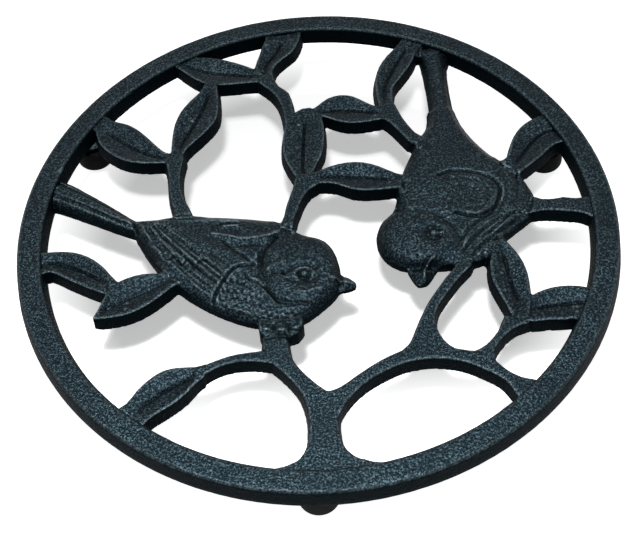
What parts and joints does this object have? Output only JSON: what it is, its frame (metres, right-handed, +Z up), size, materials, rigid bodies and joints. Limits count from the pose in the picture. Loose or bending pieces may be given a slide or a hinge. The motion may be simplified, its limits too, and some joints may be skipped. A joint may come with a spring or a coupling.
{
  "type": "trivet",
  "caption": "Round cast iron trivet: a plain rim round an openwork lattice of leafy boughs and perching birds, standing on short feet with push-on rubber caps.",
  "frame": {"origin": "centre of the round rim, on the table surface that the rubber caps stand on", "axes": "+Z up, square to the rim's top face; +Y towards the top of the pattern, from the stem's root to the crown leaves; +X to the right of it"},
  "size_m": [0.2018, 0.2018, 0.017],
  "materials": {
    "cast_iron": "sand-cast surface under a blue-black stove finish, low sheen on the raised tops",
    "rubber_caps": "matt black moulded rubber"
  },
  "bodies": {
    "root": {"rim": "cast_iron", "main_stem": "cast_iron", "left_bough": "cast_iron", "right_bough": "cast_iron", "fork_twig": "cast_iron", "lower_leaf_twig": "cast_iron", "rim_twig": "cast_iron", "back_twig": "cast_iron", "nape_twig": "cast_iron", "crown_twig": "cast_iron", "shoulder_twig": "cast_iron", "leaf_low_left": "cast_iron", "leaf_rim_left": "cast_iron", "leaf_breast": "cast_iron", "leaf_high_left": "cast_iron", "leaf_upright": "cast_iron", "leaf_crown_left": "cast_iron", "leaf_crown_right": "cast_iron", "leaf_centre": "cast_iron", "leaf_bridge": "cast_iron", "leaf_top_right": "cast_iron", "leaf_middle": "cast_iron", "leaf_rim_right": "cast_iron", "leaf_hanging": "cast_iron", "leaf_low_right": "cast_iron", "perched_bird": "cast_iron", "perched_tail": "cast_iron", "perched_toes": "cast_iron", "hanging_bird": "cast_iron", "hanging_tail": "cast_iron", "front_peg": "cast_iron", "right_peg": "cast_iron", "left_peg": "cast_iron", "front_cap": "rubber_caps", "right_cap": "rubber_caps", "left_cap": "rubber_caps"}
  },
  "joints": []
}
